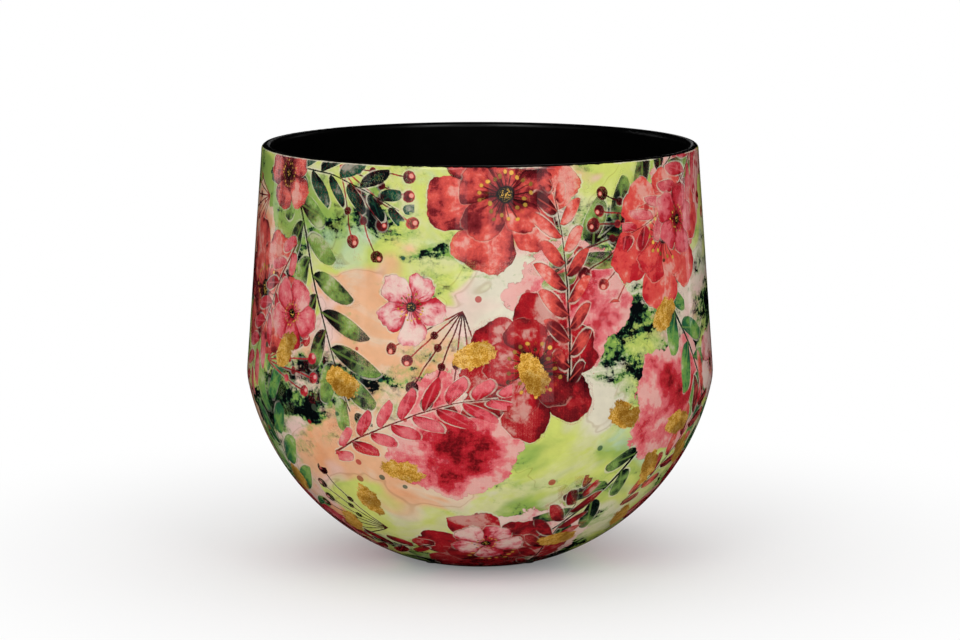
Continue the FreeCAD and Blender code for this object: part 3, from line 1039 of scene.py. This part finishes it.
def felt_disc(name, low, high):
    """A die-cut disc of dense felt, whose edge bulges a little and is cut a little unevenly."""
    around = 64
    # The cut's waves to a metre, and the shares of the radius where it starts and of its depth
    cut_waves, cut_start_share, cut_share = 900, 0.9, 0.25
    middle = (low + high) / 2
    radius, height = (high.x - low.x) / 2, high.z - low.z
    points = []
    for out, up in PAD_SECTION_SHARES:
        for step in range(around):
            turn = math.tau * step / around
            way = Vector((math.cos(turn), math.sin(turn), 0))
            rough = noise.noise((middle + way * radius) * cut_waves + Vector((0, 0, up * 3)))
            cut = max(0.0, out - cut_start_share) * (cut_share + cut_share * rough)
            x, y = [middle[axis] + way[axis] * radius * (out - cut) for axis in (0, 1)]
            points.append((x, y, low.z + height * up))
    last = len(points)
    top = last - around
    points += [(middle.x, middle.y, low.z), (middle.x, middle.y, high.z)]
    faces = bands(len(PAD_SECTION_SHARES), around)
    faces += [((n + 1) % around, n, last) for n in range(around)]
    faces += [(top + n, top + (n + 1) % around, last + 1) for n in range(around)]
    made = place_mesh(name, points, faces)
    made.data.shade_smooth()
    return made


def felt_material(dye):
    """Pressed fibres: fine crossed threads in the colour and in the surface."""
    material, bench = new_material("dense_felt")
    along, across, through = 900, 4200, 2500
    x, y, z = bench.split(bench.value("ShaderNodeTexCoord", "Object"))
    one_way = bench.mottle(bench.join(x * along, y * across, z * through), 1, 3, 0.6)
    other_way = bench.mottle(bench.join(x * across + 7, y * along, z * through), 1, 3, 0.6)
    threads = bench.most(one_way, other_way)
    clumps = bench.mottle(bench.join(x, y, z), 420, 3)
    tone = bench.ease(threads * 0.7 + clumps * 0.4, 0.45, 0.75)
    finish(bench, "ShaderNodeBsdfPrincipled", {
        "Base Color": bench.blend(tone, [c * 0.55 for c in dye], [c * 1.5 for c in dye]),
        "Roughness": 0.95,
        "Specular IOR Level": 0.1,
        "Sheen Weight": 0.3,
        "Normal": bench.value("ShaderNodeBump", 0, {"Height": threads, "Distance": 0.3 * MM}),
    })
    return material


class CACHEPOT_OT_stage(bpy.types.Operator):
    """Set the floor, the lamps and the camera"""

    bl_idname = "cachepot.stage"
    bl_label = "Studio stage"

    def execute(self, context):
        stage = context.scene.cachepot_stage
        set_camera(context.scene, stage)
        set_floor(stage)
        set_world(context.scene, stage)
        set_lamps()
        set_tent(stage)
        context.scene.view_settings.view_transform = "Standard"
        return {"FINISHED"}


def set_camera(scene, stage):
    """The photograph's view: a long lens from a little above the rim."""
    farthest_seen = 100
    camera = place_object("camera", bpy.data.cameras.new("camera"))
    camera.location = (0, -stage.camera_distance, stage.camera_height)
    aim = Vector((0, 0, stage.aim_height)) - camera.location
    camera.rotation_euler = aim.to_track_quat("-Z", "Y").to_euler()
    camera.data.lens = stage.lens
    camera.data.sensor_width = stage.sensor
    camera.data.shift_y = stage.shift
    camera.data.clip_end = farthest_seen
    scene.camera = camera


def seen_white(bench):
    """One for what the camera, a gloss or a glass looks at, and nothing for other light."""
    path = bench.node("ShaderNodeLightPath")
    rays = ("Is Camera Ray", "Is Glossy Ray", "Is Transmission Ray")
    return bench.most(*[Value(bench, path.outputs[name]) for name in rays])


def set_floor(stage):
    """A pale floor that keeps the pot's shadow, and goes over into plain white round the pot."""
    corners, fade_start, white_from = 96, -0.1, 0.5
    radius = stage.floor_radius
    turns = [math.tau * n / corners for n in range(corners)]
    rim = [(radius * math.cos(turn), radius * math.sin(turn), 0) for turn in turns]
    floor = place_mesh("floor", rim, [tuple(range(corners))])
    material, bench = new_material("floor")
    place = bench.value("ShaderNodeTexCoord", "Object")
    finish(bench, "ShaderNodeMixShader", {
        0: bench.ease(bench.length(place), fade_start, white_from) * seen_white(bench),
        1: bench.value("ShaderNodeBsdfDiffuse", 0, {"Color": stage.floor}),
        2: bench.value("ShaderNodeEmission", 0, {"Color": (1, 1, 1), "Strength": 1.0}),
    })
    floor.data.materials.append(material)
    floor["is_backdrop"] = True


def set_world(scene, stage):
    """White behind the pot, and a low even light from all round."""
    world = bpy.data.worlds.new("studio")
    world.use_nodes = True
    world.node_tree.nodes.clear()
    bench = Bench(world.node_tree)
    seen = seen_white(bench)
    sky = {"Color": (1, 1, 1), "Strength": seen + (1.0 - seen) * stage.even_light}
    finish(bench, "ShaderNodeBackground", sky, "ShaderNodeOutputWorld")
    scene.world = world


# The soft lamps: where each stands, in degrees to the right of the camera, degrees up and
# metres off, its width and height, its power, and whether the gloss mirrors it
LAMPS = (
    ("left_lamp", (-22, 40, 1.7), (0.5, 1.2), 5.2, True),
    ("right_lamp", (30, 40, 1.7), (0.5, 1.2), 4, True),
    ("low_front_lamp", (4, 3, 1.6), (1.2, 0.25), 2, False),
    ("top_lamp", (180, 80, 1.9), (1.6, 1.6), 8, False),
    ("low_left_lamp", (-48, 8, 1.8), (1.2, 0.5), 4.3, False),
    ("low_right_lamp", (52, 8, 1.8), (1.2, 0.5), 3.8, False),
)
LAMPS_AIM = (0, 0, 0.2)


def set_lamps():
    """Two tall soft lamps, and soft light from above and from low in front and at both sides."""
    for name, (turn, rise, away), size, power, mirrored in LAMPS:
        data = bpy.data.lights.new(name, "AREA")
        data.shape = "RECTANGLE"
        data.size, data.size_y = size
        data.energy = power
        lamp = place_object(name, data)
        turn, rise = math.radians(turn), math.radians(rise)
        flat = math.cos(rise)
        way = Vector((flat * math.sin(turn), -flat * math.cos(turn), math.sin(rise)))
        lamp.location = Vector(LAMPS_AIM) + way * away
        lamp.rotation_euler = way.to_track_quat("Z", "Y").to_euler()
        lamp.visible_glossy = mirrored


# The bright strips that the gloss mirrors: where the middle of each stands round the pot, in
# degrees to the right of the camera, and how wide it looks
STRIPS = ((-58, 4), (-34, 7), (-9, 5), (10, 13), (31, 7), (126, 6), (-126, 9), (178, 6))


def set_tent(stage):
    """Dark cloth round, over and under the pot, with bright strips, which only the gloss sees."""
    around, radius, strip_top, top = 180, 1.9, 1.5, 2.3
    foot, off_floor, peak = PAD_HIGH.x + 0.01, 0.5 * MM, 0.01
    profile = (
        (foot, off_floor), (radius, off_floor), (radius, strip_top), (radius, top), (peak, top)
    )
    turns = [math.tau * n / around for n in range(around)]
    points = [(r * math.sin(t), -r * math.cos(t), h) for r, h in profile for t in turns]
    tent = place_mesh("dark_tent", points, bands(len(profile), around))
    for name, level in (("dark_cloth", 0.0), ("bright_strip", stage.strip_light)):
        material, bench = new_material(name)
        finish(bench, "ShaderNodeEmission", {"Color": (1, 1, 1), "Strength": level})
        tent.data.materials.append(material)
    for face in tent.data.polygons:
        ring, step = divmod(face.index, around)
        turn = (step + 0.5) * 360 / around
        off = min(abs((turn - middle + 180) % 360 - 180) - width / 2 for middle, width in STRIPS)
        face.material_index = 1 if ring == 1 and off < 0 else 0
    for rays in ("camera", "diffuse", "transmission", "volume_scatter", "shadow"):
        setattr(tent, f"visible_{rays}", False)
    tent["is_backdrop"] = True


class CACHEPOT_PT_panel(bpy.types.Panel):
    """Lists the steps that dress the cachepot"""

    bl_idname = "CACHEPOT_PT_panel"
    bl_label = "Cachepot"
    bl_space_type = "VIEW_3D"
    bl_region_type = "UI"
    bl_category = "Cachepot"

    def draw(self, context):
        layout = self.layout
        for operator in OPERATORS:
            layout.operator(operator.bl_idname)
        for owner, settings in SETTINGS:
            box = layout.box()
            for name in settings.__annotations__:
                box.prop(getattr(context.scene, owner), name)


OPERATORS = (
    CACHEPOT_OT_stage,
    CACHEPOT_OT_ceramic,
    CACHEPOT_OT_black_coat,
    CACHEPOT_OT_printed_wrap,
    CACHEPOT_OT_base_coat,
    CACHEPOT_OT_foot_pads,
)
SETTINGS = (
    ("cachepot_print", PrintDesign),
    ("cachepot_coats", PotCoats),
    ("cachepot_stage", StudioStage),
)


def register():
    for owner, settings in SETTINGS:
        bpy.utils.register_class(settings)
        setattr(bpy.types.Scene, owner, PointerProperty(type=settings))
    for one in (*OPERATORS, CACHEPOT_PT_panel):
        bpy.utils.register_class(one)


def unregister():
    for one in reversed((*OPERATORS, CACHEPOT_PT_panel)):
        bpy.utils.unregister_class(one)
    for owner, settings in reversed(SETTINGS):
        delattr(bpy.types.Scene, owner)
        bpy.utils.unregister_class(settings)


def main():
    register()
    for operator in OPERATORS:
        family, name = operator.bl_idname.split(".")
        getattr(getattr(bpy.ops, family), name)()
    boxes = {"cad": CAD_BOX, "visual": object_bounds()}
    {name: [list(corner) for corner in box] for name, box in boxes.items()}


if __name__ == "__main__":
    main()
